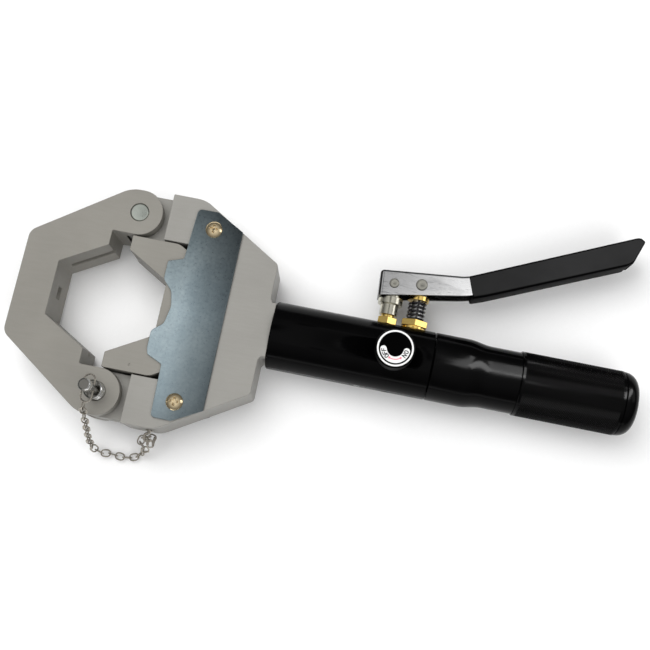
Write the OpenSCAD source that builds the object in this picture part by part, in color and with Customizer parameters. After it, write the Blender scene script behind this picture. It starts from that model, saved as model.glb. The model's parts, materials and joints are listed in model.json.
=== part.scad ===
// Hand-pumped hydraulic hose crimper: an opening C-head with a sliding die shoe, a ram
// cylinder with a built-in lever pump, and an oil reservoir inside the handle.
// Origin: centre of the closed six-sided die space, at mid-thickness of the head.
// +X runs along the tool axis to the handle, +Y to the pump lever, +Z is the crimping axis.

/* [Head] */
// Distance across the flats of the closed six-sided die space
die_space = 71.5; // [70:0.5:73]
// Thickness of the head, jaw and frame alike
head_t = 41.3; // [40:0.1:44]
// Distance from the tool axis to the hinge pin and to the lock pin
pin_y = 69.2; // [69:0.1:69.6]
// Distance from the die centre line to both pins, along the tool
pin_x = 14.7; // [14:0.1:15]
// Diameter of the hinge pin and the lock pin
pin_d = 13.9; // [12:0.1:14.5]
// Radius of the ears around the pins
ear_r = 17.5; // [17:0.1:17.6]
// Thickness of the frame's tongues between the jaw's ears
tongue_t = 21.3; // [18:0.1:24]

/* [Ram] */
// Travel of the die shoe
ram_stroke = 12; // [8:0.5:12]
// Retraction of the shoe from the closed six-sided space
shoe_back = 11; // [10:0.5:12]
// Bore of the ram cylinder
ram_bore_d = 38; // [36:0.5:38]
// Diameter of the ram rod
rod_d = 22; // [18:0.5:24]

/* [Body] */
// Outside diameter of the cylinder and of the front of the reservoir tube
barrel_d = 51.5; // [50:0.1:53]
// Outside diameter of the thin part of the reservoir tube
neck_d = 46.9; // [46:0.1:48]
// Outside diameter over the knurled sleeve
grip_d = 48.8; // [48:0.1:50]
// Length of the knurled sleeve
grip_len = 77; // [70:1:80]

/* [Pump] */
// Distance along the tool from the die centre to the lever's fulcrum
fulcrum_x = 213.4; // [213:0.1:214]
// Distance along the tool from the fulcrum to the plunger
plunger_dx = 20.6; // [20:0.1:21]
// Downward travel of the plunger
plunger_stroke = 6; // [4:0.5:6]
// Diameter of the pump plunger
plunger_d = 9; // [8:0.5:9]
// Outside width of the lever channel
lever_w = 21; // [20.5:0.1:22]

/* [Hidden] */
$fn = 64;

half_t = head_t / 2;
edge = die_space / sqrt(3) / 2;      // half of one side of the six-sided space
pin_r = pin_d / 2;
hole_r = pin_r + 0.05;
ear_in = pin_y - ear_r;              // inner side of the ears
tongue_h = tongue_t / 2;
slot_h = tongue_h + 0.3;             // half height of the slot between the ears
slot_r = ear_r + 1.5;
jaw_left = -62.9;
jaw_corner_y = 39.5;
slope = 35;                          // slant of the jaw's outer sides

cheek_x = 37.2;                      // start of the frame's full thickness
frame_top = 88.3;
frame_right = 125.5;
boss_x = 130.1;                      // face that the cylinder butts against
cavity_y = 52;
cavity_x = 90;
plate_t = 2;
screw_x = 73.1;
screw_y = 66;

shoe_flat = die_space / 2 + shoe_back;
shoe_x = 88;
shoe_y = 50.85;
shoe_h = half_t - 0.3;
tip_x = 14;

barrel_r = barrel_d / 2;
bore_r = ram_bore_d / 2;
rod_r = rod_d / 2;
piston_x = 146 + ram_stroke;          // leaves the return spring its whole stroke
bore_end = 183;
seam_x = 251;
tube_x = 251.6;
taper_x = 276.6;
neck_x = 294.8;
grip_x = 317;
grip_end = grip_x + grip_len;
cap_end = 405.2;
cap_round = 10;                      // corner radius of the end cap
cap_r = grip_d / 2 - 0.4;
plug_x = cap_end - 5.9;              // inner end of the filler plug
neck_r = neck_d / 2;
grip_r = grip_d / 2;
tube_in = 19.5;
sleeve_in = 22;

plunger_x = fulcrum_x + plunger_dx;
fulcrum_y = 55.3;
plunger_pin_y = 58;
rivet_r = 3;
wall = 2;
lever_h = lever_w / 2;
ball_r = 2.3;                        // check and relief balls
nut_top = 31.4;
post_low = 32;                       // lower end of the fulcrum post
flange_low = 40.2;
flange_top = 45.5;
spring_top = 40.8 + plunger_stroke;  // closed height of the spring plus the stroke
eye_low = spring_top + 3.9;          // lower face of the plunger's eye block
eye_h = 11;

knob_x = 221.9;
knob_y = 0;
knob_r = 14.4;
label_r = 13.2;
knob_z0 = 33.5;
knob_z1 = 45.5;
pinch_z = 31.6;                      // height of the knob's clamping screw

lock_out = 10.95;                    // lower end of the lock pin as drawn out
lock_top = 31.5;
knob_low = 42.5;
lock_end = 57;
ring_z = knob_low - 1.1;             // the ring hangs just under the pin's knob

// Middle line of the lock pin's chain, from the hook on the frame to the pin ring.
chain_path = [
    [57, -94.7, 6], [57, -100.5, 6], [55.5, -103.5, -2], [53, -103.5, -12], [50.5, -104, -19],
    [49, -106, -23.2], [46, -109.5, -23.3], [36.4, -111, -23.3], [25, -110, -23.3], [19, -111, -22.5],
    [13.5, -108.5, -17], [12.5, -104.5, -6], [12.7, -100.5, 5], [13, -96, 15], [13.2, -91.5, 25],
    [12.5, -86.5, 31.5], [12.2, -84.3, 34]
];
link_pitch = 5.6;
link_in = 2.95;                      // half the inner length of a link
link_w = 2.5;                        // half the width to the wire's middle
wire_r = 0.55;

silver = [0.62, 0.61, 0.59];
zinc = [0.55, 0.62, 0.68];
steel = [0.7, 0.71, 0.7];
brass = [0.85, 0.62, 0.25];
black = [0.06, 0.06, 0.065];
rubber = [0.12, 0.12, 0.13];

function unit(v) = v / norm(v);
// One rounded corner at b, between a and c, with radius r, as n + 1 points.
function corner(a, b, c, r, n) = let(
    u = unit(a - b), v = unit(c - b),
    half = acos(u * v) / 2,
    m = b + unit(u + v) * (r / sin(half)),
    p = b + u * (r / tan(half)),
    s = atan2(p[1] - m[1], p[0] - m[0]),
    turn = sign(u[1] * v[0] - u[0] * v[1]) * (180 - 2 * half)
) [for (i = [0:n]) m + r * [cos(s + turn * i / n), sin(s + turn * i / n)]];
// A closed outline from corners given as [x, y, radius].
function rounded(pts, n = 8) = let(k = len(pts)) [
    for (i = [0:k - 1]) let(
        a = pts[(i + k - 1) % k], b = pts[i], c = pts[(i + 1) % k]
    ) each (b[2] == 0 ? [[b[0], b[1]]] : corner([a[0], a[1]], [b[0], b[1]], [c[0], c[1]], b[2], n))
];
function flip(pts) = [for (i = [len(pts) - 1:-1:0]) [pts[i][0], -pts[i][1], pts[i][2]]];

module slab(z0, z1) translate([0, 0, z0]) linear_extrude(z1 - z0) children();
module outline(pts, n = 8) polygon(rounded(pts, n));
module along_x(x, y = 0, z = 0) translate([x, y, z]) rotate([0, 90, 0]) children();
module along_y(x, y, z = 0) translate([x, y, z]) rotate([-90, 0, 0]) children();
module rod_x(x0, x1, r, y = 0, z = 0) along_x(x0, y, z) cylinder(h = x1 - x0, r = r);
module rod_y(x, y0, y1, r, z = 0) along_y(x, y0, z) cylinder(h = y1 - y0, r = r);
module rod_z(x, y, z0, z1, r) translate([x, y, z0]) cylinder(h = z1 - z0, r = r);
module turned_x(x, pts) along_x(x) rotate_extrude() polygon(pts);
module torus(big, small) rotate_extrude() translate([big, 0]) circle(small, $fn = 24);

/* Head frame */
module frame_outline() {
    top = [[cheek_x, frame_top, 0.8], [61.8, frame_top, 20], [frame_right, 49.7, 4],
           [frame_right, 23.5, 0], [frame_right + 1.6, 20.5, 0], [boss_x, 20.5, 0]];
    outline(concat(top, flip(top)));
}
module tongue(side) {
    slab(-tongue_h, tongue_h) {
        translate([pin_x, side * pin_y]) circle(ear_r - 0.3);
        translate([pin_x, side * pin_y - ear_r + 0.3]) square([cheek_x - pin_x + 1, 2 * ear_r - 0.6]);
    }
}
module head_frame() color(silver) difference() {
    union() {
        slab(-half_t, half_t) frame_outline();
        tongue(1);
        tongue(-1);
        rod_x(boss_x - 1, 144, 20.2);
    }
    slab(-half_t - 1, half_t + 1)
        outline([[0, -cavity_y, 0], [cavity_x, -cavity_y, 10], [cavity_x, cavity_y, 10],
                 [0, cavity_y, 0]]);
    for (side = [-1, 1]) rod_z(pin_x, side * pin_y, -half_t, half_t, hole_r);
    rod_x(cavity_x - 1, 93.2, 16);
    rod_x(93, 124.2, 14);
    rod_x(124, 145, 16.5);
    for (side = [-1, 1], z = [-half_t - 1, half_t - 12])
        rod_z(screw_x, side * screw_y, z, z + 13, 3);
    turned_x(137, [[18.4, 0], [21, 0], [21, 3], [18.4, 3]]);
    rod_y(57, -frame_top - 1, -frame_top + 7, 1.5, 6);
}

/* Fixed pin of the jaw hinge */
module hinge_pin() color(steel) translate([pin_x, pin_y, -half_t + 0.2]) rotate_extrude()
    polygon([[0, 0], [pin_r - 0.8, 0], [pin_r, 0.8], [pin_r, head_t - 1.2],
             [pin_r - 0.8, head_t - 0.4], [0, head_t - 0.4]]);

/* Die retaining plates */
module plate_outline() {
    outline([
        [58.1, 80, 3.5], [73.6, 80.2, 4], [94.8, 68.4, 0.8], [94.8, -68.4, 0.8],
        [73.2, -79.9, 4], [58.1, -79.8, 3], [57.2, -40.9, 1.5], [45.5, -35.6, 2],
        [44.2, -31, 3], [44.1, -17.5, 5], [52, -11, 6], [54.6, 2.6, 14], [52, 14, 8],
        [44.5, 22, 5], [44.6, 36.2, 2], [55.9, 40, 2]
    ], 6);
}
module guard_plate(side) {
    z = side > 0 ? half_t : -half_t - plate_t;
    difference() {
        slab(z, z + plate_t) plate_outline();
        for (s = [-1, 1]) rod_z(screw_x, s * screw_y, z - 1, z + plate_t + 1, 3.2);
    }
}
module guard_plate_front() color(zinc) guard_plate(1);
module guard_plate_back() color(zinc) guard_plate(-1);
module pan_screw() {
    cylinder(h = 9.5, r = 2.9);
    translate([0, 0, 9.5]) difference() {
        intersection() {
            cylinder(h = 4, r = 6.3);
            translate([0, 0, -4.6]) sphere(8.6);
        }
        for (a = [0, 90]) rotate(a) translate([-3, -0.7, 2]) cube([6, 1.4, 3]);
    }
}
module guard_screws() color(brass) for (side = [0, 180], s = [-1, 1])
    translate([screw_x, s * screw_y, 0]) rotate([side, 0, 0])
        translate([0, 0, half_t + plate_t - 9.5]) pan_screw();

/* Rod guide */
module rod_bush() color(brass) turned_x(93.3, [[rod_r + 0.05, 0], [14, 0], [14, 30.6], [rod_r + 0.05, 30.6]]);
module rod_wiper() color(rubber) turned_x(90.2, [[rod_r + 0.05, 0], [16, 0], [16, 2.9], [rod_r + 0.05, 2.9]]);

/* Ram cylinder with the pump body behind it */
module cylinder_barrel() color(black) difference() {
    union() {
        turned_x(boss_x, [[0, 0], [barrel_r - 1, 0], [barrel_r, 1], [barrel_r, seam_x - boss_x - 0.5],
                          [barrel_r - 0.5, seam_x - boss_x], [0, seam_x - boss_x]]);
        rod_x(seam_x - 1, 263, 19.4);
        rod_x(262, 272, 9);
    }
    rod_x(boss_x - 1, 144.2, 20.25);
    rod_x(144, bore_end, bore_r);
    rod_x(bore_end - 1, 214, 3.2, -6);
    rod_x(213, plunger_x, 1.6, -6);
    rod_x(plunger_x, 245, 1.6, -2);
    rod_x(244, 273, 3.2, -2);
    rod_x(bore_end - 1, knob_x, 1.5, knob_y, -9);
    rod_z(knob_x, knob_y, -9, -4.9, 1.5);
    rod_z(knob_x, knob_y, -5, barrel_r + 1, 4.1);
    rod_z(knob_x, knob_y, 12, barrel_r + 1, 8.1);
    rod_y(knob_x, -barrel_r - 1, knob_y, 1.5, -2);
    rod_y(knob_x, -barrel_r - 1, -17, 3, -2);
    rod_x(knob_x, 264, 1.5, -13, -2);
    rod_y(fulcrum_x, 13, barrel_r + 1, 5);
    rod_y(fulcrum_x, 24.6, barrel_r + 2, 8.4);
    rod_y(plunger_x, -10, barrel_r, plunger_d / 2 + 0.05);
    rod_y(plunger_x, 11, barrel_r + 1, 8);
    rod_y(plunger_x, 24.6, barrel_r + 2, 11.3);
    rod_y(200, -barrel_r - 1, -13, 3.2);
    rod_y(200, -14, -6, 1.3);
    turned_x(257, [[18, 0], [20, 0], [20, 2.4], [18, 2.4]]);
}
module ring_seal(x, big, small) color(rubber) along_x(x) torus(big, small);
module barrel_seal() ring_seal(138.5, 19.35, 0.85);
module tube_seal() ring_seal(258.2, 18.75, 0.7);
module cap_seal() ring_seal(390.2, 18.75, 0.7);

/* Reservoir tube that forms the handle */
module reservoir_tube() color(black) difference() {
    turned_x(tube_x, [
        [0, 0], [barrel_r - 0.5, 0], [barrel_r, 0.5], [barrel_r, taper_x - tube_x],
        for (i = [1:11]) [barrel_r - (barrel_r - neck_r) * (1 - cos(15 * i)) / 2,
                          taper_x - tube_x + (neck_x - taper_x) * i / 12],
        [neck_r, neck_x - tube_x], [neck_r, grip_x - tube_x],
        [sleeve_in - 0.05, grip_x - tube_x], [sleeve_in - 0.05, grip_end - tube_x],
        [0, grip_end - tube_x]]);
    rod_x(tube_x - 1, grip_end + 1, tube_in);
}
module knurled_grip() color(black) turned_x(grip_x + 0.1, [
    [sleeve_in, 0], [grip_r - 0.8, 0], [grip_r, 0.8], [grip_r, grip_len - 1],
    [grip_r - 0.8, grip_len - 0.2], [sleeve_in, grip_len - 0.2]]);
module end_cap() color(black) difference() {
    turned_x(384, [
        [0, 0], [19.4, 0], [19.4, 5], [18, 5], [18, 7.4], [19.4, 7.4], [19.4, 10.1], [cap_r - 0.5, 10.1],
        [cap_r, 10.6],
        for (i = [0:8]) [cap_r - cap_round * (1 - cos(11.25 * i)),
                         cap_end - 384 - cap_round * (1 - sin(11.25 * i))],
        [0, cap_end - 384]]);
    rod_x(383, plug_x - 4.8, 14);
    rod_x(plug_x - 5, cap_end + 1, 5);
    rod_x(plug_x + 3.2, cap_end + 1, 7);
}
module filler_plug() color(steel) difference() {
    union() {
        rod_x(plug_x - 4, plug_x + 3.4, 4.95);
        rod_x(plug_x + 3.3, plug_x + 5.4, 6.8);
    }
    along_x(plug_x + 1.2) cylinder(h = 6, r = 3.2, $fn = 6);
}
module oil_bladder() color(rubber) difference() {
    turned_x(264.5, [
        [0, 0], [11, 0], [11, 7], [17.2, 14], [17.2, 104],
        for (i = [1:6]) [5 + 12.2 * cos(15 * i), 104 + 12.2 * sin(15 * i)], [0, 116.2]]);
    turned_x(264, [[0, 0], [9.1, 0], [9.1, 8], [15.5, 15], [15.5, 103], [5, 113.5], [0, 113.5]]);
}
module bladder_clip() color(steel) turned_x(266, [[11.05, 0], [12, 0], [12, 4], [11.05, 4]]);
module suction_tube() color(brass) difference() {
    rod_x(263, 340, 3.15, -2);
    rod_x(262, 341, 2.2, -2);
}

/* Valves inside the pump body */
module check_balls() color(steel) {
    translate([212, -6, 0]) sphere(ball_r);
    translate([247.2, -2, 0]) sphere(ball_r);
    translate([200, -15, 0]) sphere(ball_r);
}
module coil(turns, big, small, pitch) {
    steps = 12;
    n = floor(turns * steps);
    sides = 8;
    rings = [for (i = [0:n]) [for (k = [0:sides - 1]) let(
        a = 360 * i / steps, b = -360 * k / sides, r = big + small * cos(b)
    ) [r * cos(a), r * sin(a), pitch * i / steps + small * sin(b)]]];
    polyhedron(points = [for (g = rings) each g], faces = concat(
        [[for (k = [sides - 1:-1:0]) k]],
        [for (i = [0:n - 1], k = [0:sides - 1]) let(m = (k + 1) % sides)
            [i * sides + k, i * sides + m, (i + 1) * sides + m, (i + 1) * sides + k]],
        [[for (k = [0:sides - 1]) n * sides + k]]), convexity = 8);
}
module check_springs() color(steel) {
    along_x(201.2, -6) coil(4, 2.3, 0.35, 2);
    along_x(250.5, -2) coil(3, 2.3, 0.35, 1.6);
    along_y(200, -23.2) coil(3, 2.3, 0.35, 1.6);
}
module valve_plugs() color(steel) {
    difference() {
        rod_x(195, 200.5, 3.15, -6);
        rod_x(194, 201.5, 1.2, -6);
    }
    difference() {
        rod_x(256, 262, 3.15, -2);
        rod_x(255, 262.9, 1.2, -2);
    }
}
module relief_screw() color(steel) difference() {
    rod_y(200, -25.4, -23.7, 3.15);
    rod_y(200, -26, -24.6, 1.2);
}
module drain_plug() color(steel) difference() {
    rod_y(knob_x, -24.8, -17.2, 2.95, -2);
    along_y(knob_x, -25.8, -2) cylinder(h = 3, r = 1.6, $fn = 6);
}

/* Pump fittings on top of the body */
module fulcrum_union() color(brass) {
    rod_y(fulcrum_x, 13.2, 24.7, 4.95);
    along_y(fulcrum_x, 24.7) rotate(30) cylinder(h = 5.2, r = 8.08, $fn = 6);
    rod_y(fulcrum_x, 29.8, post_low, 5);
}
module fulcrum_post() color([0.75, 0.74, 0.68]) difference() {
    union() {
        rod_y(fulcrum_x, post_low, flange_low + 0.1, 7);
        rod_y(fulcrum_x, flange_low, flange_top, 9.5);
        intersection() {
            rod_y(fulcrum_x, flange_top - 0.1, 61.5, 8);
            translate([fulcrum_x - 6, flange_top - 0.1, -8.2]) cube([12, 14.8, 16.4]);
        }
    }
    rod_z(fulcrum_x, fulcrum_y, -9, 9, rivet_r + 0.05);
}
module gland_nut() color(brass) difference() {
    union() {
        rod_y(plunger_x, 11.2, 24.8, 7.95);
        rod_y(plunger_x, 24.7, 27.2, 8.6);
        along_y(plunger_x, 26.6) rotate(30) cylinder(h = nut_top - 26.6, r = 10.97, $fn = 6);
    }
    rod_y(plunger_x, 10, 40, plunger_d / 2 + 0.05);
    rod_y(plunger_x, 29.6, 40, 7.5);
    rod_y(plunger_x, 10, 15.2, 6.6);
}
module gland_seal() color(rubber) difference() {
    rod_y(plunger_x, 11.3, 15.1, 6.5);
    rod_y(plunger_x, 11, 16, plunger_d / 2 + 0.08);
}
module valve_bush() color(black) difference() {
    rod_z(knob_x, knob_y, 12.1, 29, 8.05);
    rod_z(knob_x, knob_y, 12, 30, 4.1);
}
module chain_hook() color(steel) {
    rod_y(57, -frame_top - 3, -frame_top + 6.8, 1.45, 6);
    rod_y(57, -frame_top - 1, -frame_top - 0.05, 3, 6);
    translate([57, -frame_top - 5.5, 6]) rotate([0, 0, 90]) rotate_extrude(angle = 250)
        translate([2.9, 0]) circle(1.1, $fn = 24);
}

/* Ram assembly */
module shoe_outline() {
    tip_y = edge + (shoe_flat - tip_x) * tan(30);
    top = [[tip_x, tip_y, 0.8], [tip_x, shoe_y, 0.8], [50, shoe_y, 12], [shoe_x, 29, 8]];
    outline(concat([[shoe_flat, edge, 0.6]], top, flip(top), [[shoe_flat, -edge, 0.6]]), 10);
}
module die_shoe() color(silver) difference() {
    slab(-shoe_h, shoe_h) shoe_outline();
    rod_x(73.8, shoe_x + 1, 9.05);
    rod_z(81, 0, -shoe_h - 1, shoe_h + 1, 2.55);
    rod_z(34, -45.5, shoe_h - 0.6, shoe_h + 1, 0.7);
}
module ram_rod() color(steel) difference() {
    union() {
        rod_x(74, shoe_x + 0.1, 9);
        rod_x(shoe_x + 0.05, piston_x, rod_r);
        rod_x(piston_x - 0.1, 180, 7.95);
    }
    rod_z(81, 0, -10, 10, 2.55);
}
module shoe_pin() color(steel) rod_z(81, 0, -19, 19, 2.5);
module ram_piston() color(steel) turned_x(piston_x + 0.05, [
    [8, 0], [bore_r - 0.06, 0], [bore_r - 0.06, 5], [15.5, 5], [15.5, 9], [bore_r - 0.06, 9],
    [bore_r - 0.06, 14], [8, 14]]);
module piston_seal() color(rubber) turned_x(piston_x + 5.1, [
    [15.55, 0], [bore_r - 0.03, 0], [bore_r - 0.03, 3.8], [15.55, 3.8]]);
module piston_nut() color(steel) difference() {
    along_x(piston_x + 14.1) cylinder(h = 8, r = 13.8, $fn = 6);
    rod_x(piston_x + 13, 182, 8);
}
module return_spring() color(rubber) along_x(126) coil(4.6, 14, 1.5, 6.3);

/* Opening jaw */
module jaw_outline() {
    slant_x = jaw_left + (pin_y + ear_r - jaw_corner_y) / tan(slope);
    top = [[jaw_left, jaw_corner_y, 9], [slant_x, pin_y + ear_r, 24],
           [pin_x + ear_r, pin_y + ear_r, ear_r - 0.2], [pin_x + ear_r, ear_in, ear_r - 0.2],
           [-2.1, ear_in, 0.8], [-2.1, 2 * edge - 2.1 * tan(30), 0.8], [-die_space / 2, edge, 0.8]];
    outline(concat(top, flip(top)), 12);
}
module ear_slot(side) translate([pin_x, side * pin_y]) {
    circle(slot_r);
    rotate(side * slope) translate([-14, -30]) square([60, 60]);
}
module jaw() color(silver) difference() {
    slab(-half_t, half_t) jaw_outline();
    for (side = [-1, 1]) {
        slab(-slot_h, slot_h) ear_slot(side);
        rod_z(pin_x, side * pin_y, -half_t - 1, half_t + 1, hole_r);
        // guide groove along the slanted die seat
        translate([-die_space / 2, side * edge, -3]) rotate(side * 30)
            translate([5, -2.5, 0]) cube([45, 5, 6]);
    }
    // locating recess for the fixed die
    translate([-die_space / 2 - 6, -4.75, -4.5]) cube([8, 9.5, 9]);
}

/* Lock pin and its chain */
module lock_pin() color(steel) translate([pin_x, -pin_y, 0]) rotate_extrude() polygon([
    [0, lock_out], [pin_r - 0.8, lock_out], [pin_r, lock_out + 0.8], [pin_r, 23],
    [pin_r - 0.5, 23.4], [pin_r - 0.5, 24.4], [pin_r, 24.8], [pin_r, 26],
    [pin_r - 0.5, 26.4], [pin_r - 0.5, 27.4], [pin_r, 27.8], [pin_r, lock_top - 0.8],
    [pin_r - 0.8, lock_top], [2.6, lock_top], [2.6, knob_low], [4.1, knob_low], [4.5, knob_low + 0.5],
    [4.5, lock_end - 1], [3.6, lock_end], [0, lock_end]]);
module link(reach, width, r) {
    for (s = [0, 180]) rotate([0, 0, s]) {
        translate([reach, 0, 0]) rotate([0, 0, -90]) rotate_extrude(angle = 180, $fn = 24)
            translate([width, 0]) circle(r, $fn = 16);
        translate([-reach, width, 0]) rotate([0, 90, 0]) cylinder(h = 2 * reach, r = r, $fn = 16);
    }
}
module pin_ring() color(steel) translate([pin_x - 0.65, -pin_y - 0.8, ring_z]) rotate([0, 0, 92])
    link(6, 4, 0.65);

function spans(p) = [for (i = [0:len(p) - 2]) norm(p[i + 1] - p[i])];
function total(v, i = 0) = i < len(v) ? v[i] + total(v, i + 1) : 0;
function walk(p, d, i = 0) = let(s = norm(p[i + 1] - p[i]))
    (d <= s || i == len(p) - 2) ? p[i] + unit(p[i + 1] - p[i]) * d : walk(p, d - s, i + 1);
module pin_chain() color(steel) {
    count = floor(total(spans(chain_path)) / link_pitch);
    for (i = [0:count - 1]) {
        a = walk(chain_path, link_pitch * i);
        b = walk(chain_path, link_pitch * (i + 1));
        d = unit(b - a);
        translate((a + b) / 2) rotate([0, 0, atan2(d[1], d[0])]) rotate([0, -asin(d[2]), 0])
            rotate([90 * ((i + 1) % 2), 0, 0]) link(link_in - link_w + wire_r, link_w, wire_r);
    }
}

/* Pump lever */
function lever_top(x) = 64.6 + (x - 201.6) * 0.105;
module lever_side() {
    outline([
        [201.6, 64.6, 2.5], [267, lever_top(267), 8], [388, 126, 3], [391.5, 122.5, 2], [385, 106.5, 3],
        [281.6, 60.5, 25], [269, 56.6, 8], [203, 44.6, 1.5]], 5);
}
module lever_inside() {
    outline([
        [203.8, 62.6, 1], [267.2, lever_top(267) - 2.1, 8], [392, 125.6, 0], [386, 90, 0],
        [281, 40, 0], [203.8, 40, 0]], 5);
}
module lever_channel() color(steel) difference() {
    slab(-lever_h, lever_h) lever_side();
    slab(-lever_h + wall, lever_h - wall) lever_inside();
    for (p = [[fulcrum_x, fulcrum_y], [plunger_x, plunger_pin_y]])
        rod_z(p[0], p[1], -20, 20, rivet_r);
}
module grip_side(grow) {
    outline([
        [267.8 - grow, 71.9 + grow, 0.5], [390.4, 127.9 + grow, 4], [395.6, 125.4, 1.5], [388, 105.2, 2],
        [383.6, 102.8, 1.5], [281.6, 57.8, 22], [273.8, 55.2, 1]], 6);
}
module lever_grip() color(rubber) difference() {
    slab(-lever_h - 0.9, lever_h + 0.9) grip_side(0);
    slab(-lever_h - 0.02, lever_h + 0.02) lever_side();
}
module rivet(x, y, head_r, reach) {
    rod_z(x, y, -lever_h - reach, lever_h + reach, rivet_r - 0.01);
    for (s = [0, 180]) translate([x, y, 0]) rotate([s, 0, 0]) translate([0, 0, lever_h + 0.02])
        cylinder(h = reach, r1 = head_r, r2 = head_r - 0.5);
}
module fulcrum_rivet() color(steel) rivet(fulcrum_x, fulcrum_y, 3.7, 1.2);
module plunger_rivet() color(steel) rivet(plunger_x, plunger_pin_y, 4.4, 1.4);

/* Pump plunger */
module plunger() color(steel) difference() {
    union() {
        rod_y(plunger_x, -3.2, eye_low + 0.2, plunger_d / 2);
        intersection() {
            rod_y(plunger_x, eye_low, 62.8, 7.9);
            translate([plunger_x - 5.5, eye_low, -7.9]) cube([11, eye_h, 15.8]);
        }
    }
    slab(-9, 9) translate([plunger_x - 0.3, plunger_pin_y]) {
        circle(rivet_r + 0.08);
        translate([0.6, 0]) circle(rivet_r + 0.08);
        translate([0, -rivet_r - 0.08]) square([0.6, 2 * rivet_r + 0.16]);
    }
}
module plunger_cap() color(brass) difference() {
    rod_y(plunger_x, spring_top + 0.1, eye_low - 0.1, 8.1);
    rod_y(plunger_x, spring_top, eye_low, plunger_d / 2 + 0.02);
}
module plunger_spring() color(rubber) along_y(plunger_x, 30.7) coil(5.1, 6.1, 0.95, 2.95);

/* Release valve */
module release_knob() color(black) difference() {
    translate([knob_x, knob_y, knob_z0]) rotate_extrude() polygon([
        [0, -4], [7, -4], [7, 0], [knob_r - 1, 0], [knob_r, 1], [knob_r, knob_z1 - knob_z0 - 1],
        [knob_r - 1, knob_z1 - knob_z0], [0, knob_z1 - knob_z0]]);
    rod_z(knob_x, knob_y, knob_z0 - 6, knob_z1 - 4, 4.05);
    rod_z(knob_x, knob_y, knob_z1 - 0.5, knob_z1 + 1, label_r + 0.1);
    along_y(knob_x, knob_y + 3.3, pinch_z) cylinder(h = 5, r = 1.55);
}
module knob_label() color([0.1, 0.1, 0.1]) rod_z(knob_x, knob_y, knob_z1 - 0.5, knob_z1 - 0.05, label_r);
module release_spindle() color(steel) difference() {
    translate([knob_x, knob_y, 0]) rotate_extrude()
        polygon([[0, -6], [1.2, -4.6], [4, -1.8], [4, knob_z1 - 4.1], [0, knob_z1 - 4.1]]);
    rod_y(knob_x, knob_y + 3.2, knob_y + 5, 1.6, pinch_z);
}
module knob_screw() color(steel) rod_y(knob_x, knob_y + 3.4, knob_y + 6.9, 1.5, pinch_z);

head_frame();
hinge_pin();
guard_plate_front();
guard_plate_back();
guard_screws();
rod_bush();
rod_wiper();
cylinder_barrel();
barrel_seal();
reservoir_tube();
tube_seal();
knurled_grip();
end_cap();
cap_seal();
filler_plug();
oil_bladder();
bladder_clip();
suction_tube();
check_balls();
check_springs();
valve_plugs();
relief_screw();
drain_plug();
fulcrum_union();
fulcrum_post();
gland_nut();
gland_seal();
valve_bush();
chain_hook();
die_shoe();
ram_rod();
shoe_pin();
ram_piston();
piston_seal();
piston_nut();
return_spring();
jaw();
lock_pin();
pin_ring();
pin_chain();
lever_channel();
lever_grip();
fulcrum_rivet();
plunger_rivet();
plunger();
plunger_cap();
plunger_spring();
release_knob();
knob_label();
release_spindle();
knob_screw();
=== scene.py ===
import json
import math
import bmesh
import bpy
from mathutils import Matrix, Vector


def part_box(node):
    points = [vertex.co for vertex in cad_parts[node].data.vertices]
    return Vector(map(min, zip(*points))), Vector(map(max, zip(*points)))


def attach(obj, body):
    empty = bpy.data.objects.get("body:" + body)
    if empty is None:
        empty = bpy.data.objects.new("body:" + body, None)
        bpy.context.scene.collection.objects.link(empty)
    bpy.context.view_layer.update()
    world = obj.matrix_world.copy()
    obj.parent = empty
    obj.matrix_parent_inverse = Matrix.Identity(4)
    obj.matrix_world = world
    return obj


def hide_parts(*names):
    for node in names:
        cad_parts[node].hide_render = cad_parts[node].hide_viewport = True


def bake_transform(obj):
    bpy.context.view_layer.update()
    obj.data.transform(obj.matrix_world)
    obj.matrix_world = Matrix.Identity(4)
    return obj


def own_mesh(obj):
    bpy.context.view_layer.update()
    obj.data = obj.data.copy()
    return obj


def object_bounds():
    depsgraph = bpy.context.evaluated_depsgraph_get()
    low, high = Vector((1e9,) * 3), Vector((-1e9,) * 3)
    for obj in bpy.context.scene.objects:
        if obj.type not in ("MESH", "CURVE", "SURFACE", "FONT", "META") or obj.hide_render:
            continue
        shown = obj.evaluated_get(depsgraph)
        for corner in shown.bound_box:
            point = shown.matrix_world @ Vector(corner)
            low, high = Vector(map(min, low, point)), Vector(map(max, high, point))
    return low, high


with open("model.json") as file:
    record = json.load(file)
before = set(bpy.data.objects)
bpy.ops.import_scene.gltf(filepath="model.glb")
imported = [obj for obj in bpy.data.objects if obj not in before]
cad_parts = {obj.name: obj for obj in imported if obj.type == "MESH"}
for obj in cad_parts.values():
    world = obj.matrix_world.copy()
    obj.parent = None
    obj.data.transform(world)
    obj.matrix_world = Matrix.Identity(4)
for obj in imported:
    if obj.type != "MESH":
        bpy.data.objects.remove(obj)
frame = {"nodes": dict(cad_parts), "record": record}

for name in ("Cube", "Light", "Camera"):
    if name in bpy.data.objects:
        bpy.data.objects.remove(bpy.data.objects[name])
cad_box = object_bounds()
MM = 0.001
TAU = 2 * math.pi
UP = Vector((0, 0, 1))
scene = bpy.context.scene

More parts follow.
